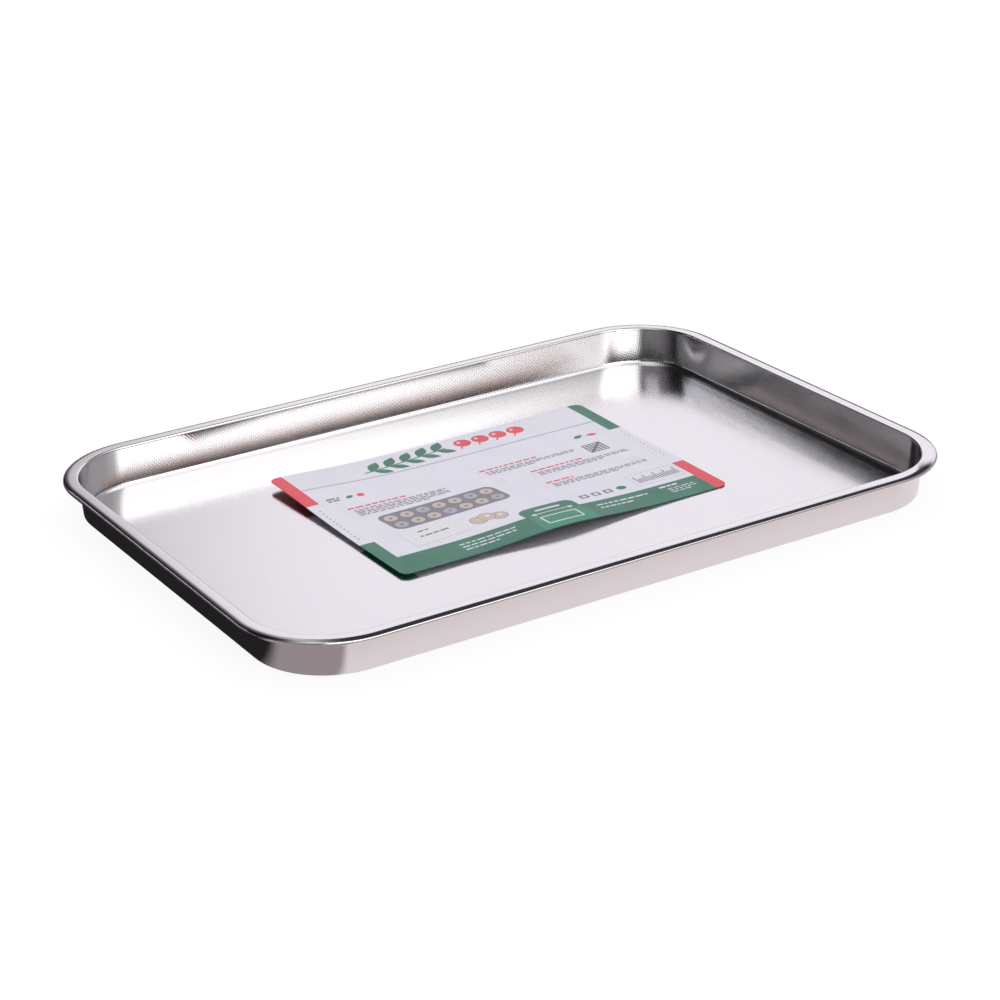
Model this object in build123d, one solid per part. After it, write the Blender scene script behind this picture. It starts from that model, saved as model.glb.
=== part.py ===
from build123d import *
from math import cos, exp, radians, sin
import os

# Low baking tray pressed from one embossed steel sheet, with its printed card.
# Millimetres, +Z up. The origin is the centre of the tray's underside. X runs along
# the long side and +Y points to the back. Each piece is written to its own STEP file.

# Tray: overall sizes
LENGTH = 400.0
WIDTH = 280.0
HEIGHT = 22.0

# Tray: the pressed sheet
SHEET = 0.7
CORNER_RADIUS = 48.5
RIM_WIDTH = 7.5
WALL_DRAFT_DEG = 4.0
FOOT_BEND_RADIUS = 2.2
RIM_BEND_RADIUS = 0.5

# Tray: the bead along the outer edge of the rim
BEAD_RADIUS = 1.3
BEAD_TURN_DEG = 250.0

# Card: size and place
CARD_LENGTH = 197.5
CARD_WIDTH = 139.6
CARD_THICKNESS = 0.35
CARD_CORNER_RADIUS = 4.5
CARD_CENTRE_X = 6.5
CARD_CENTRE_Y = 14.2
CARD_TURN_DEG = 0.4

# Card: height of its underside above the tray's floor, and how far each warp lifts it
CARD_LIFT = 0.8
BACK_LEFT_CURL = 3.1
FRONT_LEFT_CURL = 0.8
BACK_RIGHT_CURL = 0.9
FRONT_WAVE = 3.0
FRONT_DROOP = -0.45

# Where each warp is centred and how far it reaches, along X and Y, as shares of half
# the card's length and half its width
BACK_LEFT_SHARES = (-1.0, 1.0, 0.40, 0.89)
FRONT_LEFT_SHARES = (-1.0, -1.0, 0.50, 0.80)
BACK_RIGHT_SHARES = (1.0, 1.0, 0.45, 0.55)
FRONT_WAVE_SHARES = (-0.05, -1.0, 0.355, 0.60)
FRONT_DROOP_SHARES = (0.80, -1.0, 0.35, 0.40)
CARD_SURFACE_POINTS = 21
CARD_SURFACE_MARGIN = 6.0

# Sticker on the card
STICKER_LENGTH = 34.0
STICKER_WIDTH = 20.0
STICKER_THICKNESS = 0.12
STICKER_CLEARANCE = 0.3
STICKER_TURN_DEG = 4.0

# Glue dots between the card and the floor
GLUE_DOT_RADIUS = 4.0
GLUE_DOT_CLEARANCE = 0.06

# Places on the card, from its centre, as shares of half its length and half its width
STICKER_SHARES = (-0.60, -0.48)
GLUE_DOT_MIDDLE_SHARES = (0.03, 0.03)
GLUE_DOT_RIGHT_SHARES = (0.79, -0.19)

# What follows from the sizes above
HALF_LENGTH = LENGTH / 2
HALF_WIDTH = WIDTH / 2
CORNER_X = HALF_LENGTH - CORNER_RADIUS
CORNER_Y = HALF_WIDTH - CORNER_RADIUS
CARD_PLACE = Pos(CARD_CENTRE_X, CARD_CENTRE_Y, SHEET) * Rot(0, 0, CARD_TURN_DEG)
CARD_WARPS = [
    (BACK_LEFT_CURL, BACK_LEFT_SHARES),
    (FRONT_LEFT_CURL, FRONT_LEFT_SHARES),
    (BACK_RIGHT_CURL, BACK_RIGHT_SHARES),
    (FRONT_WAVE, FRONT_WAVE_SHARES),
    (FRONT_DROOP, FRONT_DROOP_SHARES),
]


def bend(centre, radius, start_deg, end_deg):
    """Arc about centre, with its angles counted from straight out along the first axis."""
    middle_deg = (start_deg + end_deg) / 2
    points = [
        (
            centre[0] + radius * cos(radians(angle)),
            centre[1] + radius * sin(radians(angle)),
        )
        for angle in (start_deg, middle_deg, end_deg)
    ]
    return ThreePointArc(*points)


def foot_bend_centre():
    """Centre of the bend between the floor and the wall, measured out from a corner's centre."""
    wall = CORNER_RADIUS - RIM_WIDTH
    draft = radians(WALL_DRAFT_DEG)
    out = wall - (FOOT_BEND_RADIUS + (HEIGHT - FOOT_BEND_RADIUS) * sin(draft)) / cos(
        draft
    )
    return out, FOOT_BEND_RADIUS


def rim_bend_centre():
    """Centre of the bend between the wall and the rim, outside the wall and under the rim."""
    wall = CORNER_RADIUS - RIM_WIDTH
    draft = radians(WALL_DRAFT_DEG)
    below = SHEET + RIM_BEND_RADIUS
    out = wall + (RIM_BEND_RADIUS - below * sin(draft)) / cos(draft)
    return out, HEIGHT - below


def sheet_section():
    """Section of the tray from the start of the foot bend out to the bead, through a corner's centre."""
    foot = foot_bend_centre()
    rim = rim_bend_centre()
    bead = (CORNER_RADIUS - BEAD_RADIUS, HEIGHT - BEAD_RADIUS)
    flat = -90
    up_wall = -WALL_DRAFT_DEG
    back_wall = 180 - WALL_DRAFT_DEG
    top = 90
    bead_end = top - BEAD_TURN_DEG
    outside = [
        bend(foot, FOOT_BEND_RADIUS, flat, up_wall),
        bend(rim, RIM_BEND_RADIUS, back_wall, top),
        bend(bead, BEAD_RADIUS - SHEET, top, bead_end),
    ]
    inside = [
        bend(bead, BEAD_RADIUS, bead_end, top),
        bend(rim, RIM_BEND_RADIUS + SHEET, top, back_wall),
        bend(foot, FOOT_BEND_RADIUS - SHEET, up_wall, flat),
    ]
    arcs = outside + inside
    joins = [Line(arc @ 1, after @ 0) for arc, after in zip(arcs, arcs[1:] + arcs[:1])]
    outline = Curve() + arcs + joins
    return Plane.XZ * make_face(outline)


def make_tray_pan():
    """Floor plate, then each corner turned and each side drawn from the one section."""
    section = sheet_section()
    reach = foot_bend_centre()[0]
    floor = extrude(
        RectangleRounded(2 * (CORNER_X + reach), 2 * (CORNER_Y + reach), reach), SHEET
    )
    corner = revolve(section, Axis.Z, 90)
    pan = floor
    for turn_deg, x, y, run in [
        (0, CORNER_X, CORNER_Y, 2 * CORNER_Y),
        (90, -CORNER_X, CORNER_Y, 2 * CORNER_X),
        (180, -CORNER_X, -CORNER_Y, 2 * CORNER_Y),
        (270, CORNER_X, -CORNER_Y, 2 * CORNER_X),
    ]:
        side = extrude(section, run, dir=(0, -1, 0))
        pan += Pos(x, y) * Rot(0, 0, turn_deg) * (corner + side)
    return pan


def card_height(x, y):
    """Height of the card's underside above the floor at a place on the card."""
    height = CARD_LIFT
    for lift, (x_share, y_share, x_reach, y_reach) in CARD_WARPS:
        across = (2 * x / CARD_LENGTH - x_share) / x_reach
        along = (2 * y / CARD_WIDTH - y_share) / y_reach
        height += lift * exp(-(across**2) - along**2)
    return height


def card_underside():
    """Smooth face through the card's heights, a little larger than the card."""
    steps = [n / (CARD_SURFACE_POINTS - 1) - 0.5 for n in range(CARD_SURFACE_POINTS)]
    across = CARD_LENGTH + 2 * CARD_SURFACE_MARGIN
    along = CARD_WIDTH + 2 * CARD_SURFACE_MARGIN
    rows = [
        [
            Vector(across * i, along * j, card_height(across * i, along * j))
            for j in steps
        ]
        for i in steps
    ]
    return Face.make_surface_from_array_of_points(rows)


def place_on_card(shares):
    """Place on the card, in millimetres from its centre."""
    return shares[0] * CARD_LENGTH / 2, shares[1] * CARD_WIDTH / 2


def cut_from_sheet(face, low, thickness, plan):
    """Sheet of one thickness, low above the card's underside, trimmed to a plan outline."""
    sheet = extrude(Pos(0, 0, low) * face, thickness, dir=(0, 0, 1))
    highest = CARD_LIFT + sum(abs(lift) for lift, _ in CARD_WARPS) + low + thickness
    return sheet & extrude(plan, highest)


def make_info_card(face):
    plan = RectangleRounded(CARD_LENGTH, CARD_WIDTH, CARD_CORNER_RADIUS)
    return cut_from_sheet(face, 0, CARD_THICKNESS, plan)


def make_lot_sticker(face):
    plan = (
        Pos(*place_on_card(STICKER_SHARES))
        * Rot(0, 0, STICKER_TURN_DEG)
        * Rectangle(STICKER_LENGTH, STICKER_WIDTH)
    )
    return cut_from_sheet(
        face, CARD_THICKNESS + STICKER_CLEARANCE, STICKER_THICKNESS, plan
    )


def make_glue_dot(shares):
    """Flat dot on the floor, just under the lowest point of the card above it."""
    x, y = place_on_card(shares)
    reach = GLUE_DOT_RADIUS
    lowest = min(
        card_height(x + dx, y + dy)
        for dx in (-reach, 0, reach)
        for dy in (-reach, 0, reach)
    )
    return Pos(x, y) * extrude(Circle(GLUE_DOT_RADIUS), lowest - GLUE_DOT_CLEARANCE)


underside = card_underside()
pieces = {
    "tray_pan": make_tray_pan(),
    "info_card": CARD_PLACE * make_info_card(underside),
    "lot_sticker": CARD_PLACE * make_lot_sticker(underside),
    "glue_dot_middle": CARD_PLACE * make_glue_dot(GLUE_DOT_MIDDLE_SHARES),
    "glue_dot_right": CARD_PLACE * make_glue_dot(GLUE_DOT_RIGHT_SHARES),
}

os.makedirs("parts", exist_ok=True)
for name, piece in pieces.items():
    export_step(piece, f"parts/{name}.step")
    print(name, round(piece.volume, 2), piece.bounding_box().size)
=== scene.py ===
"""Looks of a low embossed steel baking tray with the printed card that lies in it."""

import math
import random

import bmesh
import bpy
import numpy as np
from mathutils import Matrix, Vector


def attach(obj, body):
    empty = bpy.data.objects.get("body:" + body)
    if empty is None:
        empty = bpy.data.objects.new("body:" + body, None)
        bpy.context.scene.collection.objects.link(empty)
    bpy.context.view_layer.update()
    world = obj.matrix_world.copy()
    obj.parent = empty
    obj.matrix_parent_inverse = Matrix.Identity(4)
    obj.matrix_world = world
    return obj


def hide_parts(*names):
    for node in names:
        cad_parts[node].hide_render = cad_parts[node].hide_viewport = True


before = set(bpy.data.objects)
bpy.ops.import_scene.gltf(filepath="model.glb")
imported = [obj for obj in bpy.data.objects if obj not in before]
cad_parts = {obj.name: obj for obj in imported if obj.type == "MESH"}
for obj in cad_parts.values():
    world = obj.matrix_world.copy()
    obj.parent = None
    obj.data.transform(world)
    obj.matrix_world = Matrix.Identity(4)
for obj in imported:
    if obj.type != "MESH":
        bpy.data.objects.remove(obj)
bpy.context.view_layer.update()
MM = 0.001

# Tray, in millimetres: the same sizes as the solid
LENGTH = 400.0
WIDTH = 280.0
HEIGHT = 22.0
SHEET = 0.7
CORNER_RADIUS = 48.5
RIM_WIDTH = 7.5
WALL_DRAFT_DEG = 4.0
FOOT_BEND_RADIUS = 2.2
RIM_BEND_RADIUS = 0.5
BEAD_RADIUS = 1.3
BEAD_TURN_DEG = 250.0
CORNER_X = LENGTH / 2 - CORNER_RADIUS
CORNER_Y = WIDTH / 2 - CORNER_RADIUS

# Tray: fine shape of the pressed sheet
LEAD_WIDTH = 6.0
LEAD_DROP = 0.05
LEAD_BEND = 2.0
INNER_FOOT_RADIUS = 2.0
LONG_WALL_TOP_DEG = -1.0
SHORT_WALL_TOP_DEG = 1.4
WALL_FOOT_DEG = 10.0
WALL_FOOT_REACH = 7.0
RIM_CROWN = 0.3
RIM_CROWN_WIDTH = 2.2
WAVE_REACH = 25.0
WAVE_FADE = 60.0
STEPS_X, STEPS_Y, STEPS_CORNER = 76, 46, 28

# Tray: texture and finish of the floor, its walls and its underside, and the painted shading of its pressed
# dots and ribs
EMBOSS_PITCH = 1.443
EMBOSS_DEPTH = 0.010
RIB_PITCH = 1.183
WALL_START = (189.0, 129.0)
WALL_BLEND = 4.0
FLOOR_RELIEF, WALL_RELIEF, UNDER_RELIEF = 0.5, 0.3, 0.1
# Shares of the painted shade and highlights of the dots and ribs in the colour of the floor and of the walls
FLOOR_DOT_SHADING, WALL_DOT_SHADING = 0.3, 0.6
ROUGHNESS = (0.135, 0.155)
WALL_POLISH = 0.03
# Painted shade and painted highlight colours of the dots and ribs
DOT_SHADE_STEEL, DOT_HIGHLIGHT_STEEL = (0.56, 0.555, 0.565, 1), (0.97, 0.965, 0.975, 1)
PLAIN_STEEL, WORN_STEEL = (0.775, 0.77, 0.78, 1), (0.79, 0.785, 0.795, 1)

# Card, in millimetres: the same sizes as the solid
CARD_LENGTH = 197.5
CARD_WIDTH = 139.6
CARD_THICKNESS = 0.35
CARD_CORNER_RADIUS = 4.5
CARD_CENTRE = (6.5, 14.2)
CARD_TURN_DEG = 0.4
CARD_LIFT = 0.8
CARD_WARPS = [
    (3.1, -1.0, 1.0, 0.40, 0.89),
    (0.8, -1.0, -1.0, 0.50, 0.80),
    (0.9, 1.0, 1.0, 0.45, 0.55),
    (3.0, -0.05, -1.0, 0.355, 0.60),
    (-0.45, 0.80, -1.0, 0.35, 0.40),
]
CARD_CELL = 3.0
STICKER = (-59.3, -33.5, 34.0, 20.0, 4.0)
STICKER_THICKNESS = 0.12
STICKER_CLEARANCE = 0.02

# Faint grey patches painted on the white card over the glue dots, and the span over which each fades out
GLUE_PATCHES = [(3.2, 2.0), (78.5, -13.2)]
PATCH_FADE = (2.0, 5.0)


# Nodes


class Material:
    """A node material under construction, with short calls for what the pieces share."""

    def __init__(self, name):
        self.material = bpy.data.materials.new(name)
        self.material.use_nodes = True
        self.tree = self.material.node_tree
        self.tree.nodes.clear()
        self.output = self.tree.nodes.new("ShaderNodeOutputMaterial")

    def node(self, kind, inputs=(), **settings):
        made = self.tree.nodes.new("ShaderNode" + kind)
        for key, value in settings.items():
            setattr(made, key, value)
        for key, value in dict(inputs).items():
            self.feed(made.inputs[key], value)
        return made

    def feed(self, socket, value):
        if isinstance(value, bpy.types.NodeSocket):
            self.tree.links.new(value, socket)
        else:
            socket.default_value = value

    def math(self, operation, *values):
        made = self.node("Math", operation=operation)
        for n, value in enumerate(values):
            self.feed(made.inputs[n], value)
        return made.outputs[0]

    def ramp(self, value, low, high, start=0.0, end=1.0, smooth=True):
        """value from low to high mapped to start to end."""
        made = self.node(
            "MapRange",
            {"Value": value, "From Min": low, "From Max": high, "To Min": start, "To Max": end},
            interpolation_type="SMOOTHSTEP" if smooth else "LINEAR",
        )
        return made.outputs[0]

    def mix(self, share, a, b):
        made = self.node("Mix", data_type="RGBA")
        self.feed(made.inputs[0], share)
        self.feed(made.inputs[6], a)
        self.feed(made.inputs[7], b)
        return made.outputs[2]

    def noise(self, vector, scale, detail):
        return self.node("TexNoise", {"Vector": vector, "Scale": scale, "Detail": detail}).outputs[0]

    def attribute(self, name):
        return self.node("Attribute", attribute_name=name).outputs["Vector"]

    def parts(self, vector):
        return self.node("SeparateXYZ", {0: vector}).outputs

    def surface(self, inputs):
        made = self.node("BsdfPrincipled", inputs)
        self.tree.links.new(made.outputs[0], self.output.inputs["Surface"])

    def bump(self, height, distance):
        return self.node("Bump", {"Height": height, "Distance": distance}).outputs[0]


def linear(red, green, blue):
    """Shader colour for an 8-bit display colour."""
    share = [c / 255 for c in (red, green, blue)]
    return tuple(c / 12.92 if c <= 0.04045 else ((c + 0.055) / 1.055) ** 2.4 for c in share) + (1,)


# Tray


def arc(centre, radius, start_deg, end_deg, steps):
    """Points on an arc of the section, its ends included."""
    turns = [math.radians(start_deg + (end_deg - start_deg) * n / steps) for n in range(steps + 1)]
    return [(centre[0] + radius * math.cos(t), centre[1] + radius * math.sin(t)) for t in turns]


def foot_bend_centre():
    wall = CORNER_RADIUS - RIM_WIDTH
    draft = math.radians(WALL_DRAFT_DEG)
    rise = FOOT_BEND_RADIUS + (HEIGHT - FOOT_BEND_RADIUS) * math.sin(draft)
    return wall - rise / math.cos(draft), FOOT_BEND_RADIUS


def rim_bend_centre():
    wall = CORNER_RADIUS - RIM_WIDTH
    draft = math.radians(WALL_DRAFT_DEG)
    below = SHEET + RIM_BEND_RADIUS
    return wall + (RIM_BEND_RADIUS - below * math.sin(draft)) / math.cos(draft), HEIGHT - below


def smooth_step(value):
    value = min(max(value, 0.0), 1.0)
    return value * value * (3 - 2 * value)


def inner_wall(top, bottom, top_deg, steps=26):
    """Points of the wall's inner face from bottom, a height, up to top, a point. It leans by
    top_deg there and most at its foot."""
    out, high = top
    points = [top]
    step = (high - bottom) / steps
    for _ in range(steps):
        middle = high - step / 2 - bottom
        lean = top_deg + (WALL_FOOT_DEG - top_deg) * math.exp(-middle / WALL_FOOT_REACH)
        out -= math.tan(math.radians(lean)) * step
        high -= step
        points.append((out, high))
    return points[::-1]


def section(top_deg):
    """Closed section from a corner's centre out over the upper face and back under the sheet,
    as (out, height, length along the sheet), for a wall that leans by top_deg at its top."""
    foot = foot_bend_centre()
    rim = rim_bend_centre()
    bead = (CORNER_RADIUS - BEAD_RADIUS, HEIGHT - RIM_CROWN - BEAD_RADIUS)
    bead_end = 90 - BEAD_TURN_DEG
    rim_arc = arc(rim, RIM_BEND_RADIUS + SHEET, 180 - top_deg, 90, 12)
    flat = bead[0] - RIM_CROWN_WIDTH
    crown = [(flat + RIM_CROWN_WIDTH * n / 10, HEIGHT - RIM_CROWN * (n / 10) ** 2) for n in range(10)]
    bead_start = 90 - math.degrees(math.atan(2 * RIM_CROWN / RIM_CROWN_WIDTH))
    low = SHEET - LEAD_DROP
    lean = math.radians(WALL_FOOT_DEG)
    wall = inner_wall(rim_arc[0], low + INNER_FOOT_RADIUS * (1 - math.sin(lean)), top_deg)
    reach = wall[0][0] - INNER_FOOT_RADIUS * math.cos(lean)
    edge = reach - LEAD_WIDTH
    floor_outs = [edge * n / 6 for n in range(6)]
    floor_outs += [edge + LEAD_BEND * (n / 6 - 0.5) for n in range(7)] + [reach - 1.5]
    upper = [(out, SHEET - LEAD_DROP * smooth_step((out - edge) / LEAD_BEND + 0.5)) for out in floor_outs]
    upper += arc((reach, low + INNER_FOOT_RADIUS), INNER_FOOT_RADIUS, -90, -WALL_FOOT_DEG, 9)
    upper += wall[1:-1] + rim_arc + crown
    upper += arc(bead, BEAD_RADIUS, bead_start, bead_end, 28)
    under = arc(bead, BEAD_RADIUS - SHEET, bead_end, 90, 20)
    under += arc(rim, RIM_BEND_RADIUS, 90, 180 - WALL_DRAFT_DEG, 6)
    under += arc(foot, FOOT_BEND_RADIUS, -WALL_DRAFT_DEG, -90, 12)
    under += [(edge, 0.0), (edge / 2, 0.0), (0.0, 0.0)]
    rows = []
    for side in (upper, under[::-1]):
        along = 0.0
        for n, point in enumerate(side):
            if n:
                along += math.dist(point, side[n - 1])
            rows.append([point[0], point[1], along])
    return rows[: len(upper)], rows[: len(upper) - 1 : -1]


def rim_path(steps_x, steps_y, corner_steps):
    """Base point and outward direction of every place round the tray, anticlockwise."""
    places = []
    sides = [
        ((CORNER_X, -CORNER_Y), (CORNER_X, CORNER_Y), 0, steps_y),
        ((CORNER_X, CORNER_Y), (-CORNER_X, CORNER_Y), 90, steps_x),
        ((-CORNER_X, CORNER_Y), (-CORNER_X, -CORNER_Y), 180, steps_y),
        ((-CORNER_X, -CORNER_Y), (CORNER_X, -CORNER_Y), 270, steps_x),
    ]
    for start, end, facing, steps in sides:
        for n in range(steps):
            share = n / steps
            base = (
                start[0] + (end[0] - start[0]) * share,
                start[1] + (end[1] - start[1]) * share,
            )
            places.append((base, facing))
        for n in range(corner_steps):
            places.append((end, facing + 90 * n / corner_steps))
    return places


def wave(x, y):
    """Slight unevenness of the pressed floor, in millimetres, nothing at the foot bend."""
    inside_x = smooth_step((CORNER_X + WAVE_REACH - abs(x)) / WAVE_FADE)
    inside_y = smooth_step((CORNER_Y + WAVE_REACH - abs(y)) / WAVE_FADE)
    rolls = 0.10 * math.sin(x / 61 + 0.6) * math.cos(y / 47 - 0.4)
    rolls += 0.05 * math.sin(x / 23 - y / 31 + 1.1) + 0.04 * math.cos(x / 37 + y / 19)
    return rolls * inside_x * inside_y


def ring():
    """Wall, rim and bead, which are the section carried round the tray: points, their places on the
    flattened sheet, and faces."""
    upper, under = section(LONG_WALL_TOP_DEG)
    long_rows = upper + under
    short_rows = [row for side in section(SHORT_WALL_TOP_DEG) for row in side]
    places = rim_path(STEPS_X, STEPS_Y, STEPS_CORNER)
    points, flats, faces = [], [], []
    for base, facing in places:
        out_x, out_y = math.cos(math.radians(facing)), math.sin(math.radians(facing))
        for n, (long_row, short_row) in enumerate(zip(long_rows, short_rows)):
            out, high, along = (a * out_y**2 + b * out_x**2 for a, b in zip(long_row, short_row))
            x, y = base[0] + out_x * out, base[1] + out_y * out
            on_top = n < len(upper)
            rise = wave(x, y) if on_top and high < SHEET + 0.01 else 0.0
            points.append((x, y, high + rise))
            flats.append((base[0] + out_x * along, base[1] + out_y * along, 0.0 if on_top else 1.0))
    size, count = len(long_rows), len(places)
    for i in range(count):
        a, b = i * size, (i + 1) % count * size
        faces += [(a + n, b + n, b + n + 1, a + n + 1) for n in range(size - 1)]
    return points, flats, faces


def plate(high, on_top, first):
    """One side of the floor between the corners' centres, with its points counted from first."""
    points, flats, faces = [], [], []
    for i in range(STEPS_X + 1):
        for j in range(STEPS_Y + 1):
            x = CORNER_X * (2 * i / STEPS_X - 1)
            y = CORNER_Y * (2 * j / STEPS_Y - 1)
            points.append((x, y, high + (wave(x, y) if on_top else 0.0)))
            flats.append((x, y, 0.0 if on_top else 1.0))
    for i in range(STEPS_X):
        for j in range(STEPS_Y):
            a = first + i * (STEPS_Y + 1) + j
            corners = (a, a + STEPS_Y + 1, a + STEPS_Y + 2, a + 1)
            faces.append(corners if on_top else corners[::-1])
    return points, flats, faces


def make_tray():
    """The pressed sheet as one closed mesh. Its attribute "sheet" has each point's place on the
    flattened sheet, with Z 0 on the upper face and 1 on the lower."""
    points, flats, faces = ring()
    for high, on_top in ((SHEET, True), (0.0, False)):
        for whole, part in zip((points, flats, faces), plate(high, on_top, len(points))):
            whole += part
    mesh = bpy.data.meshes.new("tray_sheet")
    mesh.from_pydata([Vector(p) * MM for p in points], [], faces)
    flat = mesh.attributes.new("sheet", "FLOAT_VECTOR", "POINT")
    flat.data.foreach_set("vector", np.array(flats, np.float32).ravel())
    work = bmesh.new()
    work.from_mesh(mesh)
    bmesh.ops.remove_doubles(work, verts=work.verts, dist=1e-7)
    bmesh.ops.dissolve_degenerate(work, edges=work.edges, dist=1e-8)
    bmesh.ops.recalc_face_normals(work, faces=work.faces)
    work.to_mesh(mesh)
    work.free()
    mesh.polygons.foreach_set("use_smooth", [True] * len(mesh.polygons))
    tray = bpy.data.objects.new("tray_sheet", mesh)
    bpy.context.scene.collection.objects.link(tray)
    return tray


def steel():
    """Satin steel with staggered dots pressed into the sheet, which follow it round every bend. Its colour is
    painted lighter and darker with the dots and with fine ribs, as painted shade and highlights.
    """
    m = Material("embossed_steel")
    flat = m.attribute("sheet")
    x, y, under = m.parts(flat)
    turn = 2 * math.pi / EMBOSS_PITCH / math.sqrt(2)
    first = m.math("COSINE", m.math("MULTIPLY", m.math("ADD", x, y), turn))
    second = m.math("COSINE", m.math("MULTIPLY", m.math("SUBTRACT", x, y), turn))
    weave = m.math("ADD", first, second)
    # Ribs that exist in the colour only, as painted lines of shade and highlight
    painted_ribs = m.math("COSINE", m.math("MULTIPLY", x, 2 * math.pi / RIB_PITCH))
    worn = m.noise(flat, 0.03, 3.0)
    past_foot = [
        m.ramp(m.math("ABSOLUTE", place), start, start + WALL_BLEND)
        for place, start in zip((x, y), WALL_START)
    ]
    on_wall = m.math("MAXIMUM", *past_foot)
    drawn = m.math("MAXIMUM", on_wall, under)
    under_relief = m.ramp(under, 0.0, 1.0, FLOOR_RELIEF, UNDER_RELIEF, smooth=False)
    relief = m.math("MINIMUM", under_relief, m.ramp(on_wall, 0.0, 1.0, FLOOR_RELIEF, WALL_RELIEF))
    polish = m.math("MULTIPLY", drawn, -WALL_POLISH)
    plain = m.mix(m.ramp(worn, 0.35, 0.7), PLAIN_STEEL, WORN_STEEL)
    # Painted shade and highlights: the colour goes from dark to light with the dots and ribs, most on the
    # walls and not at all on the underside
    dot_and_rib_shading = m.math("ADD", m.math("MULTIPLY", weave, 0.5), m.math("MULTIPLY", painted_ribs, 0.8))
    pressed = m.mix(m.ramp(dot_and_rib_shading, -1.8, 1.8, smooth=False), DOT_SHADE_STEEL, DOT_HIGHLIGHT_STEEL)
    above = m.ramp(under, 0.0, 1.0, 1.0, 0.0, smooth=False)
    dot_shading_share = m.math("MULTIPLY", above, m.ramp(on_wall, 0.0, 1.0, FLOOR_DOT_SHADING, WALL_DOT_SHADING))
    m.surface(
        {
            "Base Color": m.mix(dot_shading_share, plain, pressed),
            "Metallic": 1.0,
            "Roughness": m.math("ADD", m.ramp(worn, 0.3, 0.7, *ROUGHNESS), polish),
            "Normal": m.bump(m.math("MULTIPLY", weave, relief), EMBOSS_DEPTH * MM),
        }
    )
    return m.material


# Card


def card_height(x, y):
    """Height of the card's underside above the floor, the same as the solid's."""
    height = CARD_LIFT
    for lift, x_share, y_share, x_reach, y_reach in CARD_WARPS:
        across = (2 * x / CARD_LENGTH - x_share) / x_reach
        along = (2 * y / CARD_WIDTH - y_share) / y_reach
        height += lift * math.exp(-(across**2) - along**2)
    return height


CARD_PLACE = (
    Matrix.Translation((CARD_CENTRE[0] * MM, CARD_CENTRE[1] * MM, SHEET * MM))
    @ Matrix.Rotation(math.radians(CARD_TURN_DEG), 4, "Z")
    @ Matrix.Scale(MM, 4)
)


def rounded(length, width, radius, steps=8):
    """Anticlockwise outline of a rounded rectangle about the origin."""
    points = []
    for n, (sx, sy) in enumerate([(1, 1), (-1, 1), (-1, -1), (1, -1)]):
        centre = (sx * (length / 2 - radius), sy * (width / 2 - radius))
        points += arc(centre, radius, 90 * n, 90 * n + 90, steps)
    return points


def box(x0, y0, x1, y1):
    return [(x0, y0), (x1, y0), (x1, y1), (x0, y1)]


def disc(x, y, radius_x, radius_y=None, steps=20):
    radius_y = radius_x if radius_y is None else radius_y
    turns = [2 * math.pi * n / steps for n in range(steps)]
    return [(x + radius_x * math.cos(a), y + radius_y * math.sin(a)) for a in turns]


def leaf(x, y, length, width, turn_deg):
    """Lens-shaped leaf from its stalk end at (x, y)."""
    c, s = math.cos(math.radians(turn_deg)), math.sin(math.radians(turn_deg))
    shares = [n / 7 for n in range(8)]
    lower = [(length * t, -width / 2 * math.sin(math.pi * t)) for t in shares]
    upper = [(length * t, width / 2 * math.sin(math.pi * t)) for t in reversed(shares[1:-1])]
    return [(x + u * c - v * s, y + u * s + v * c) for u, v in lower + upper]


def bar(x0, y0, x1, y1, width):
    """Straight stroke from one point to another."""
    dx, dy = x1 - x0, y1 - y0
    long = math.hypot(dx, dy)
    nx, ny = -dy / long * width / 2, dx / long * width / 2
    return [(x0 - nx, y0 - ny), (x1 - nx, y1 - ny), (x1 + nx, y1 + ny), (x0 + nx, y0 + ny)]


def dash_rows(x, y, length, lines, height, pitch, slot, seed):
    """Rows of short plain dashes."""
    draw = random.Random(seed)
    shapes = []
    for n in range(lines):
        end = x + length * (1.0 if n < lines - 1 else draw.uniform(0.55, 0.8))
        at = x
        while at < end - 1.5:
            word = min(draw.uniform(1.6, 5.2), end - at)
            low = y - n * pitch
            shapes.append((box(at, low - height, at + word, low), slot))
            at += word + 0.9
    return shapes


# Inks of the card by display colour and roughness, in the order of its material slots
INKS = {
    "white": ((222, 221, 233), 0.38),
    "green": ((50, 118, 98), 0.34),
    "light_green": ((52, 138, 112), 0.34),
    "red": ((227, 68, 82), 0.34),
    "rule": ((168, 166, 180), 0.38),
    "grey": ((112, 110, 122), 0.38),
    "mid_grey": ((128, 126, 140), 0.38),
    "biscuit": ((200, 182, 170), 0.38),
    "pale_red": ((232, 188, 196), 0.38),
    "soft_grey": ((206, 205, 217), 0.38),
    "pale_grey": ((172, 169, 182), 0.38),
    "back": ((235, 235, 240), 0.5),
    "back_red": ((170, 30, 40), 0.5),
    "back_green": ((70, 140, 115), 0.5),
}
WHITE, GREEN, LIGHT_GREEN, RED, RULE, GREY, MID_GREY, BISCUIT = range(8)
PALE_RED, SOFT_GREY, PALE_GREY, BACK, BACK_RED, BACK_GREEN, EDGE = range(8, 15)


# Places on the card, from its centre: its coloured borders, and the band along its front. The
# underside is coloured from its left end up to BACK_INK_END_X.
PRINT_END_X = CARD_LENGTH / 2 + 1
PRINT_END_Y = CARD_WIDTH / 2 + 1
BORDER_X = 91.1
BACK_BORDERS_Y = 28.0
BACK_INK_END_X = -90.0
BAND_TOP = -50.0
LIGHT_BAND_TOP = -51.5
TAB_MIDDLE_X = 1.5
TAB_LENGTH = 33.0


def strokes(points, width, ink):
    """Straight strokes from each point to the next."""
    return [(bar(*a, *b, width), ink) for a, b in zip(points, points[1:])]


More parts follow.
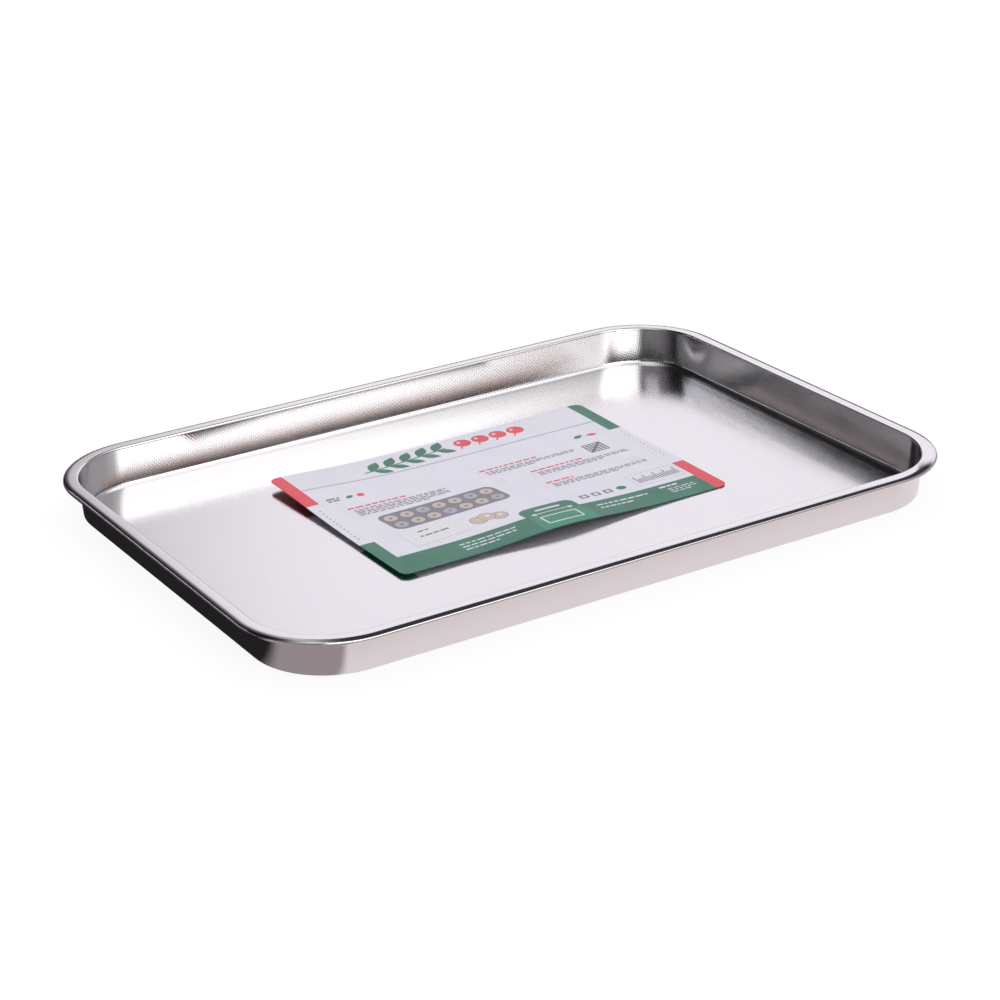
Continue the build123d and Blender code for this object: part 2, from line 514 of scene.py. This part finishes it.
def borders():
    """Coloured borders, and a light tab in a dark one at the middle of the front band."""
    low, high = TAB_MIDDLE_X - TAB_LENGTH / 2, TAB_MIDDLE_X + TAB_LENGTH / 2
    tab = [(x + TAB_MIDDLE_X, y + BAND_TOP) for x, y in rounded(TAB_LENGTH, 20.0, 5.0)]
    return [
        (box(-PRINT_END_X, -PRINT_END_Y, PRINT_END_X, BAND_TOP), GREEN),
        (box(low, -PRINT_END_Y, high, LIGHT_BAND_TOP), LIGHT_GREEN),
        (tab, GREEN),
        (box(low + 1.0, -PRINT_END_Y, high - 1.0, LIGHT_BAND_TOP - 0.5), LIGHT_GREEN),
        (box(-PRINT_END_X, BACK_BORDERS_Y, -BORDER_X - 0.1, PRINT_END_Y), RED),
        (box(BORDER_X, BACK_BORDERS_Y, PRINT_END_X, PRINT_END_Y), GREEN),
        (box(BORDER_X, -PRINT_END_Y, PRINT_END_X, -30.0), RED),
        (box(-PRINT_END_X, -PRINT_END_Y, -BORDER_X + 0.6, -27.0), GREEN),
    ]


def soft_rule():
    """Dark line on a soft wider one, bent across the card."""
    line = [(-91.0, 47.0), (-60.0, 46.0), (-25.0, 44.8), (10.0, 44.4), (50.0, 44.4), (91.0, 43.2)]
    return strokes(line, 1.9, SOFT_GREY) + strokes(line, 0.7, RULE)


def sprig():
    """Sprig with leaves and berries."""
    shapes = [(bar(-50.0, 52.5, 4.0, 59.0, 1.1), GREEN)]
    for n in range(5):
        x, y = -46.0 + 10.6 * n, 53.0 + 1.3 * n
        shapes.append((leaf(x, y, 13.5, 6.4, 50), GREEN))
        shapes.append((leaf(x + 1.5, y + 0.2, 11.5, 5.4, -34), GREEN))
    for n in range(4):
        x, y = 15.5 + 11.2 * n, 60.0 - 0.4 * n
        shapes.append((bar(x - 4.5, y - 7.0, x, y, 1.0), RED))
        shapes.append((disc(x, y, 5.0), RED))
        shapes.append((disc(x - 1.6, y + 1.6, 1.1, steps=10), WHITE))
    return shapes


def dash_block(x, y, length, head_share, lines, seed):
    """Rows of fine dashes under a heavier red row, with a thin red line round their low left corner."""
    row_pitch = 1.75
    left, low = x - 2.5, y - 4.2 - row_pitch * lines
    shapes = dash_rows(x, y, length * head_share, 1, 1.6, 3.0, RED, seed)
    shapes += dash_rows(x + 2.0, y - 3.4, length, lines, 0.95, row_pitch, GREY, seed + 20)
    shapes.append((bar(left, y + 1.0, left, low, 0.28), PALE_RED))
    shapes.append((bar(left, low, x + 14.0, low - 0.8, 0.28), PALE_RED))
    return shapes


def on_mat(u, v):
    """Place on the card of a place on the baking mat, which is drawn at a slant."""
    return -39.0 + 0.98 * u - 0.10 * v, -10.5 + 0.03 * u + 0.96 * v


def biscuits():
    """Rings of dough on a baking mat, and three baked ones beside it."""
    shapes = [([on_mat(u, v) for u, v in rounded(72.0, 22.0, 5.0)], MID_GREY)]
    pitch = 10.0
    for i in range(7):
        for j in range(2):
            x, y = on_mat(-30.0 + pitch * i, -5.0 + pitch * j)
            shapes.append((disc(x, y, 3.6), BISCUIT if (i + j) % 3 else PALE_GREY))
            shapes.append((disc(x, y, 1.1, steps=10), MID_GREY))
    for x, y in ((-34.0, -35.5), (-22.5, -37.0), (-28.5, -34.0)):
        shapes.append((disc(x, y, 4.9), MID_GREY))
        shapes.append((disc(x, y, 4.5), BISCUIT))
        shapes.append((disc(x + 1.0, y + 0.8, 1.3, steps=10), WHITE))
    return shapes


def dots_in_frame():
    shapes = [(box(65.0, 6.5, 77.0, 18.0), GREY)]
    for i in range(5):
        for j in range(5):
            if (i * 3 + j * 2) % 5:
                shapes.append((disc(66.6 + 2.2 * i, 7.9 + 2.15 * j, 0.8, steps=8), WHITE))
    return shapes


def pictograms():
    """Row of plain squares with a hole each, and an oval."""
    middle_y, pitch = -41.8, 7.5
    shapes = []
    for n, ink in enumerate([GREY, MID_GREY, GREY]):
        shapes.append((box(24.0 + pitch * n, -44.0, 29.0 + pitch * n, -39.6), ink))
        shapes.append((disc(26.5 + pitch * n, middle_y, 1.4, steps=10), WHITE))
    shapes.append((disc(50.0, middle_y, 2.9, 2.3), GREEN))
    return shapes


def scale_in_frame():
    """Scale with a taller tick at every fourth place, in a thin frame."""
    foot_y, pitch = -42.5, 1.55
    shapes = []
    for n in range(17):
        tall = 8.5 if n % 4 == 0 else 5.5
        shapes.append((box(62.0 + pitch * n, foot_y, 62.8 + pitch * n, foot_y + tall), GREY))
    x0, y0, x1, y1 = 59.5, -45.5, 89.0, -31.0
    for a, b in [((x0, y0), (x1, y0)), ((x0, y1), (x1, y1)), ((x0, y0), (x0, y1)), ((x1, y0), (x1, y1))]:
        shapes.append((bar(*a, *b, 0.3), RULE))
    return shapes


def margin_beads():
    shapes = []
    for n in range(12):
        shapes.append((disc(-95.2, 20.0 - 3.6 * n, 0.55, steps=8), GREY))
        shapes.append((disc(95.0, 22.0 - 3.6 * n, 0.45, steps=8), GREY))
    return shapes


def band_marks():
    """White dashes on the front band, and an outline under a two-headed arrow on its tab."""
    shapes = dash_rows(-58.0, -55.0, 34.0, 3, 1.1, 3.3, WHITE, 41)
    shapes += dash_rows(25.0, -55.0, 34.0, 2, 1.3, 4.0, WHITE, 42)
    shapes += dash_rows(66.0, -52.5, 22.0, 1, 1.7, 3.3, WHITE, 43)
    shapes += dash_rows(69.0, -56.5, 17.0, 3, 0.8, 2.2, WHITE, 44)
    x0, y0, x1, y1 = -9.0, -63.5, 12.0, -54.5
    shapes += strokes(box(x0, y0, x1, y1) + [(x0, y0)], 0.9, WHITE)
    arrow_y, head, spread = -49.5, 2.5, 1.5
    shapes.append((bar(x0, arrow_y, x1, arrow_y, 0.7), WHITE))
    left, right = x0 + 0.5, x1 - 0.5
    shapes.append(([(x0 - head, arrow_y), (left, arrow_y - spread), (left, arrow_y + spread)], WHITE))
    shapes.append(([(x1 + head, arrow_y), (right, arrow_y + spread), (right, arrow_y - spread)], WHITE))
    shapes.append((box(-6.0, -45.8, 9.0, -44.0), WHITE))
    return shapes


def card_print():
    """Everything printed on the card, from the bottom layer up, as (outline, ink)."""
    shapes = borders() + soft_rule() + sprig()
    shapes += dash_block(-82.0, 15.5, 55.0, 0.95, 5, 11)
    shapes += dash_block(1.0, 20.5, 57.0, 0.95, 3, 12)
    shapes += dash_block(23.5, 4.5, 59.0, 0.95, 3, 13)
    shapes += dash_block(21.0, -13.5, 60.0, 0.5, 3, 14)
    # Small mark: dashes, a leaf and a berry
    shapes += dash_rows(-86.0, 31.0, 9.0, 2, 1.6, 2.6, GREY, 15)
    shapes += [(leaf(-75.5, 27.5, 5.5, 3.2, 25), GREEN), (disc(-66.5, 28.4, 2.1), RED)]
    shapes += biscuits() + dots_in_frame()
    shapes += [(leaf(68.0, 28.5, 7.0, 3.4, 20), GREEN), (leaf(76.0, 29.0, 7.0, 3.4, -8), RED)]
    shapes += pictograms() + scale_in_frame() + margin_beads() + band_marks()
    return shapes


def paint(work, outline, slot, reach):
    """Cut a convex outline into the flat mesh and give the faces inside it a material slot."""
    xs, ys = [p[0] for p in outline], [p[1] for p in outline]
    low_x, high_x, low_y, high_y = min(xs) - reach, max(xs) + reach, min(ys) - reach, max(ys) + reach
    inside = []
    for face in work.faces:
        middle = face.calc_center_bounds()
        if low_x < middle.x < high_x and low_y < middle.y < high_y:
            inside.append(face)
    for a, b in zip(outline, outline[1:] + outline[:1]):
        start = Vector((a[0], a[1], 0))
        out = Vector((b[1] - a[1], a[0] - b[0], 0)).normalized()
        edges = {e for f in inside for e in f.edges}
        verts = {v for f in inside for v in f.verts}
        cut = bmesh.ops.bisect_plane(
            work,
            geom=inside + list(edges) + list(verts),
            dist=1e-4,
            plane_co=start,
            plane_no=out,
        )
        faces = [g for g in cut["geom"] if isinstance(g, bmesh.types.BMFace)]
        inside = [f for f in faces if (f.calc_center_median() - start).dot(out) < 0]
    for face in inside:
        face.material_index = slot


def cut_cells(work, outline, cell):
    """Cut the flat sheet into cells along X and Y."""
    xs, ys = [p[0] for p in outline], [p[1] for p in outline]
    for axis, low, high in ((0, min(xs), max(xs)), (1, min(ys), max(ys))):
        steps = max(2, round((high - low) / cell))
        for n in range(1, steps):
            place, facing = Vector((0, 0, 0)), Vector((0, 0, 0))
            place[axis] = low + (high - low) * n / steps
            facing[axis] = 1
            whole = work.verts[:] + work.edges[:] + work.faces[:]
            bmesh.ops.bisect_plane(work, geom=whole, dist=1e-5, plane_co=place, plane_no=facing)


def close_sheet(work, back_slot, edge_slot):
    """Give the flat sheet an underside and an edge, and return the numbers of the edge's faces."""
    top = work.faces[:]
    rim = [e for e in work.edges if e.is_boundary]
    inks = {e: e.link_faces[0].material_index for e in rim}
    below = {v: work.verts.new((v.co.x, v.co.y, -1)) for v in work.verts[:]}
    for face in top:
        made = work.faces.new([below[v] for v in reversed(face.verts)])
        made.material_index = back_slot(face.material_index, face.calc_center_median().x)
    edge_faces = []
    for edge in rim:
        loop = edge.link_loops[0]
        a, b = loop.vert, loop.link_loop_next.vert
        made = work.faces.new([b, a, below[a], below[b]])
        made.material_index = inks[edge] or edge_slot
        edge_faces.append(made)
    work.faces.index_update()
    return {face.index for face in edge_faces}


def bend_sheet(work, height, thickness):
    """Raise the flat sheet to height(x, y) and return each point's normal. The attribute "print"
    keeps its flat place."""
    flat = work.verts.layers.float_vector.new("print")
    step = 0.05
    normals = []
    for vert in work.verts:
        x, y = vert.co.x, vert.co.y
        upper = vert.co.z > -0.5
        slope_x = (height(x + step, y) - height(x - step, y)) / (2 * step)
        slope_y = (height(x, y + step) - height(x, y - step)) / (2 * step)
        facing = Vector((-slope_x, -slope_y, 1)).normalized()
        normals.append(facing if upper else -facing)
        vert[flat] = (x, y, 0)
        vert.co.z = height(x, y) + (thickness if upper else 0)
    return normals


def sheet_piece(name, outline, height, thickness, shapes, back_slot, edge_slot):
    """Thin sheet that follows height(x, y), painted with shapes."""
    work = bmesh.new()
    work.faces.new([work.verts.new((x, y, 0)) for x, y in outline])
    cut_cells(work, outline, CARD_CELL)
    for shape, slot in shapes:
        paint(work, shape, slot, CARD_CELL * 0.8)
    bmesh.ops.triangulate(work, faces=work.faces[:])
    edge_faces = close_sheet(work, back_slot, edge_slot)
    normals = bend_sheet(work, height, thickness)
    mesh = bpy.data.meshes.new(name)
    work.to_mesh(mesh)
    work.free()
    mesh.transform(CARD_PLACE)
    mesh.polygons.foreach_set("use_smooth", [n not in edge_faces for n in range(len(mesh.polygons))])
    turned = CARD_PLACE.to_3x3().normalized()
    corner_normals = []
    for polygon in mesh.polygons:
        on_edge = polygon.index in edge_faces
        corner_normals += [polygon.normal if on_edge else turned @ normals[n] for n in polygon.vertices]
    mesh.normals_split_custom_set(corner_normals)
    piece = bpy.data.objects.new(name, mesh)
    bpy.context.scene.collection.objects.link(piece)
    return piece


def printed(name, colour, roughness, patches=False):
    """Coated card in one ink: slight unevenness of the colour and the coating."""
    m = Material("card_" + name)
    place = m.attribute("print")
    cloud = m.noise(place, 0.06, 3.0)
    grain = m.noise(place, 3.0, 2.0)
    share = m.math("ADD", m.ramp(cloud, 0.3, 0.7, 0.0, 0.6), m.ramp(grain, 0.3, 0.7, 0.0, 0.4))
    darker = tuple(c * 0.95 for c in colour[:3]) + (1,)
    tint = m.mix(share, colour, darker)
    if patches:
        for x, y in GLUE_PATCHES:
            away = m.node("VectorMath", {0: place, 1: (x, y, 0)}, operation="DISTANCE").outputs["Value"]
            tint = m.mix(m.ramp(away, *PATCH_FADE, 0.12, 0.0), tint, linear(150, 150, 162))
    rough = m.ramp(cloud, 0.3, 0.7, roughness, roughness + 0.06)
    m.surface(
        {
            "Base Color": tint,
            "Roughness": rough,
            "IOR": 1.5,
            "Normal": m.bump(grain, 0.004 * MM),
        }
    )
    return m.material


def paper(name, colour, roughness):
    """Uncoated paper with soft fibres."""
    m = Material(name)
    place = m.attribute("print")
    fibre = m.noise(m.node("Mapping", {"Vector": place, "Scale": (1.0, 2.4, 1.0)}).outputs[0], 1.6, 4.0)
    darker = tuple(c * 0.92 for c in colour[:3]) + (1,)
    tint = m.mix(m.ramp(fibre, 0.35, 0.7), colour, darker)
    m.surface(
        {
            "Base Color": tint,
            "Roughness": m.ramp(fibre, 0.3, 0.7, roughness, min(1.0, roughness + 0.1)),
            "Normal": m.bump(fibre, 0.008 * MM),
        }
    )
    return m.material


def glue():
    """Milky removable glue with small bubbles."""
    m = Material("clear_glue")
    place = m.node("TexCoord").outputs["Object"]
    cloud = m.noise(place, 900.0, 3.0)
    tint = m.mix(m.ramp(cloud, 0.35, 0.7), (0.62, 0.61, 0.58, 1), (0.72, 0.71, 0.68, 1))
    m.surface(
        {
            "Base Color": tint,
            "Roughness": m.ramp(cloud, 0.3, 0.7, 0.18, 0.4),
            "Normal": m.bump(cloud, 0.05 * MM),
        }
    )
    return m.material


# Pieces

tray = make_tray()
tray.data.materials.append(steel())
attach(tray, "tray")
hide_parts("tray_pan")


def back_ink(slot, x):
    """Ink of the card's underside below a face in one ink: coloured at its left end only."""
    return {RED: BACK_RED, GREEN: BACK_GREEN}.get(slot, BACK) if x < BACK_INK_END_X else BACK


card = sheet_piece(
    "printed_card",
    rounded(CARD_LENGTH, CARD_WIDTH, CARD_CORNER_RADIUS),
    card_height,
    CARD_THICKNESS,
    card_print(),
    back_ink,
    EDGE,
)
for name, (colour, roughness) in INKS.items():
    card.data.materials.append(printed(name, linear(*colour), roughness, patches=name == "white"))
card.data.materials.append(paper("card_edge", linear(205, 203, 212), 0.8))
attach(card, "card")
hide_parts("info_card")

STICKER_X, STICKER_Y, STICKER_LENGTH, STICKER_WIDTH, STICKER_TURN_DEG = STICKER
STICKER_PAPER, STICKER_INK = range(2)


def on_sticker(points):
    """Points about the sticker's centre, in the card's own places."""
    c, s = math.cos(math.radians(STICKER_TURN_DEG)), math.sin(math.radians(STICKER_TURN_DEG))
    return [(STICKER_X + x * c - y * s, STICKER_Y + x * s + y * c) for x, y in points]


sticker_print = [
    (on_sticker(shape), ink)
    for shape, ink in dash_rows(-7.0, 5.2, 12.0, 1, 1.3, 3.0, STICKER_INK, 51)
    + dash_rows(-9.0, -0.5, 23.0, 1, 1.4, 3.0, STICKER_INK, 52)
]
sticker = sheet_piece(
    "paper_sticker",
    on_sticker(rounded(STICKER_LENGTH, STICKER_WIDTH, 0.6, 3)),
    lambda x, y: card_height(x, y) + CARD_THICKNESS + STICKER_CLEARANCE,
    STICKER_THICKNESS,
    sticker_print,
    lambda slot, x: STICKER_PAPER,
    STICKER_PAPER,
)
sticker.data.materials.append(paper("sticker_white", linear(224, 221, 227), 0.7))
sticker.data.materials.append(paper("sticker_ink", linear(120, 118, 122), 0.7))
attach(sticker, "card")
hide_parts("lot_sticker")

glue_material = glue()
for name in ("glue_dot_middle", "glue_dot_right"):
    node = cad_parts[name]
    node.data.materials.clear()
    node.data.materials.append(glue_material)


# Studio


def stage_mesh(name, points, faces, shares, material):
    mesh = bpy.data.meshes.new(name)
    mesh.from_pydata(points, [], faces)
    layer = mesh.uv_layers.new(name="UVMap")
    for loop, place in zip(mesh.loops, layer.data):
        place.uv = shares[loop.vertex_index]
    mesh.materials.append(material)
    made = bpy.data.objects.new(name, mesh)
    bpy.context.scene.collection.objects.link(made)
    return made


def shade(name, colour, fades):
    """Panel of one brightness that fades out over a share of its left, right, low and high side."""
    m = Material(name)
    u, v, _ = m.parts(m.node("TexCoord").outputs["UV"])
    fade = 1.0
    for place, share in zip((u, m.math("SUBTRACT", 1.0, u), v, m.math("SUBTRACT", 1.0, v)), fades):
        if share:
            fade = m.math("MULTIPLY", fade, m.ramp(place, 0.0, share))
    glow = m.node("Emission", {"Color": (*colour, 1), "Strength": 1.0}).outputs[0]
    clear = m.node("BsdfTransparent").outputs[0]
    both = m.node("MixShader", {0: fade, 1: clear, 2: glow}).outputs[0]
    m.tree.links.new(both, m.output.inputs["Surface"])
    return m.material


def only_shine_sees(panel):
    panel.visible_camera = False
    panel.visible_diffuse = False
    panel.visible_shadow = False
    panel.visible_transmission = False


def sky_panel(name, azimuths, elevations, radius, colour, fades):
    """Curved panel round the tray between two azimuths, counted from +X towards +Y, and two
    elevations, all in degrees."""
    steps = 24
    points, faces, shares = [], [], []
    for i in range(steps + 1):
        a = math.radians(azimuths[0] + (azimuths[1] - azimuths[0]) * i / steps)
        for j in range(steps + 1):
            e = math.radians(elevations[0] + (elevations[1] - elevations[0]) * j / steps)
            points.append(
                (
                    radius * math.cos(a) * math.cos(e),
                    radius * math.sin(a) * math.cos(e),
                    radius * math.sin(e),
                )
            )
            shares.append((i / steps, j / steps))
    for i in range(steps):
        for j in range(steps):
            at = i * (steps + 1) + j
            faces.append((at, at + 1, at + steps + 2, at + steps + 1))
    only_shine_sees(stage_mesh(name, points, faces, shares, shade(name, colour, fades)))


def ground_panel(name, low, high, height, colour, fades):
    """Mat over the floor between two corners, in metres."""
    (x0, y0), (x1, y1) = low, high
    points = [(x0, y0, height), (x1, y0, height), (x1, y1, height), (x0, y1, height)]
    shares = [(0, 0), (1, 0), (1, 1), (0, 1)]
    only_shine_sees(stage_mesh(name, points, [(0, 1, 2, 3)], shares, shade(name, colour, fades)))


def rim_ribbon(inside, outside, height, colour, fades):
    """Narrow strip hung over the front rim, for the dark line along its bead."""
    places = [place for place in rim_path(40, 24, 16) if 225 <= place[1] <= 335]
    points, faces, shares = [], [], []
    for n, (base, facing) in enumerate(places):
        out_x, out_y = math.cos(math.radians(facing)), math.sin(math.radians(facing))
        for m, reach in enumerate((CORNER_RADIUS - inside, CORNER_RADIUS + outside)):
            points.append(((base[0] + out_x * reach) * MM, (base[1] + out_y * reach) * MM, height * MM))
            shares.append((n / (len(places) - 1), m))
        if n:
            faces.append((2 * n - 2, 2 * n - 1, 2 * n + 1, 2 * n))
    only_shine_sees(stage_mesh("rim_ribbon", points, faces, shares, shade("rim_ribbon", colour, fades)))


def make_floor():
    """Floor that is white to the camera but for the tray's faint shadow. To shine it glows pale pink without
    shadow, with painted light that makes it brighter next to the tray's front and darker further out.
    """
    m = Material("studio_floor")
    place = m.node("TexCoord").outputs["Object"]
    cloud = m.noise(place, 3.0, 2.0)
    tint = m.mix(m.ramp(cloud, 0.3, 0.7), (0.90, 0.85, 0.85, 1), (0.92, 0.87, 0.87, 1))
    lit = m.node("BsdfDiffuse", {"Color": tint}).outputs[0]
    y = m.parts(place)[1]
    # Painted light: the glow that shine sees is brighter near the tray's front and darker further out
    near = m.mix(m.ramp(y, -0.175, -0.135), (0.62, 0.52, 0.53, 1), (0.88, 0.80, 0.81, 1))
    painted_shine_glow = m.node("Emission", {"Color": near, "Strength": 1.0}).outputs[0]
    dim = m.node("BsdfDiffuse", {"Color": (0.13, 0.13, 0.13, 1)}).outputs[0]
    glow = m.node("Emission", {"Color": (1, 1, 1, 1), "Strength": 0.89}).outputs[0]
    lifted = m.node("AddShader", {0: dim, 1: glow}).outputs[0]
    path = m.node("LightPath").outputs
    both = m.node("MixShader", {0: path["Is Glossy Ray"], 1: lit, 2: painted_shine_glow}).outputs[0]
    both = m.node("MixShader", {0: path["Is Camera Ray"], 1: both, 2: lifted}).outputs[0]
    m.tree.links.new(both, m.output.inputs["Surface"])
    reach, height = 6.0, -0.0002
    shares = [(0, 0), (1, 0), (1, 1), (0, 1)]
    points = [((2 * u - 1) * reach, (2 * v - 1) * reach, height) for u, v in shares]
    stage_mesh("studio_floor", points, [(0, 1, 2, 3)], shares, m.material)


make_floor()

# Panels that only shine sees, from the far ones to the near ones: name, azimuths, elevations,
# colour, and the share of the left, right, low and high side over which it fades out. Distances
# are in metres.
FAR_PANEL = 3.2
PANEL_GAP = 0.1
PANELS = [
    ("sky_back", (15, 110), (0, 60), (1.06, 1.01, 1.075), (0.2, 0.2, 0.05, 0.2)),
    ("room_right", (-75, 40), (-10, 60), (0.46, 0.44, 0.46), (0.45, 0.3, 0, 0.2)),
    ("room_left", (150, 262), (-10, 60), (0.2, 0.19, 0.2), (0.2, 0, 0, 0.2)),
    ("soft_box_front", (-130, -46), (-6, 74), (1.68, 1.64, 1.64), (0.12, 0.16, 0, 0.3)),
    ("soft_box_low", (-114, -52), (15, 28), (2.4, 2.35, 2.35), (0.15, 0.12, 0, 0.5)),
    ("top_light", (-60, 14), (50, 78), (1.6, 1.57, 1.58), (0.2, 0.2, 0.15, 0.2)),
    ("dark_left", (200, 240), (-8, 17), (0.03, 0.03, 0.03), (0.3, 0.2, 0, 0.2)),
    ("ceiling", (16, 75), (33, 90), (0.02, 0.02, 0.025), (0.1, 0.2, 0.1, 0)),
    ("flag_left", (64, 200), (-10, 80), (0.008, 0.007, 0.008), (0.17, 0.25, 0, 0.2)),
    ("window_corner", (196, 226), (23.6, 31), (1.1, 1.06, 1.15), (0.2, 0.2, 0.1, 0.7)),
    ("window_left", (104, 150), (23.1, 27.4), (2.2, 2.15, 2.3), (0.1, 0.2, 0.06, 0.75)),
    ("streak_left", (105, 160), (11.8, 14.6), (1.0, 0.84, 0.8), (0.2, 0.2, 0.2, 0.4)),
    ("low_wall_front", (-95, -15), (9.5, 18.6), (0.56, 0.42, 0.37), (0.3, 0.15, 0, 0.1)),
    ("horizon", (-250, 110), (-8, 11.6), (0.012, 0.011, 0.011), (0, 0, 0, 0.07)),
]
for n, (name, azimuths, elevations, colour, fades) in enumerate(PANELS):
    sky_panel(name, azimuths, elevations, FAR_PANEL - PANEL_GAP * n, colour, fades)
ground_panel("mat_corner", (-0.3, -0.26), (-0.163, -0.05), 0.0002, (0.36, 0.31, 0.325), (0.1, 0.05, 0.3, 0))
ground_panel("mat_left", (-0.52, -0.108), (-0.155, 0.5), 0.0004, (0.018, 0.0165, 0.019), (0.2, 0, 0.025, 0.1))

rim_ribbon(11.0, 6.0, 30.0, (0.035, 0.034, 0.04), (0.1, 0.05, 0.2, 0.1))

world = bpy.data.worlds.new("studio")
bpy.context.scene.world = world
world.use_nodes = True
sky = world.node_tree.nodes["Background"]
sky.inputs["Color"].default_value = (1.0, 1.0, 1.0, 1)
sky.inputs["Strength"].default_value = 1.0


# Camera

CAMERA_AZIMUTH_DEG = -31.7029
CAMERA_ELEVATION_DEG = 23.3106
CAMERA_ROLL_DEG = -1.4893
CAMERA_DISTANCE = 1.3275412
CAMERA_SHIFT = (-0.0008007, -0.0004309)
CAMERA_SENSOR = 36.0
CAMERA_LENS = 91.92
azimuth, elevation, roll = (
    math.radians(v) for v in (CAMERA_AZIMUTH_DEG, CAMERA_ELEVATION_DEG, CAMERA_ROLL_DEG)
)
back = Vector(
    (
        math.sin(azimuth) * math.cos(elevation),
        -math.cos(azimuth) * math.cos(elevation),
        math.sin(elevation),
    )
)
level = Vector((math.cos(azimuth), math.sin(azimuth), 0))
upright = back.cross(level)
right = level * math.cos(roll) + upright * math.sin(roll)
up = upright * math.cos(roll) - level * math.sin(roll)
data = bpy.data.cameras.new("camera")
data.sensor_width = CAMERA_SENSOR
data.lens = CAMERA_LENS
data.clip_start, data.clip_end = 0.05, 50.0
camera = bpy.data.objects.new("camera", data)
bpy.context.scene.collection.objects.link(camera)
place = back * CAMERA_DISTANCE + right * CAMERA_SHIFT[0] + up * CAMERA_SHIFT[1]
turn = Matrix((right, up, back)).transposed().to_4x4()
camera.matrix_world = Matrix.Translation(place) @ turn
bpy.context.scene.camera = camera

bpy.context.scene.view_settings.view_transform = "Standard"
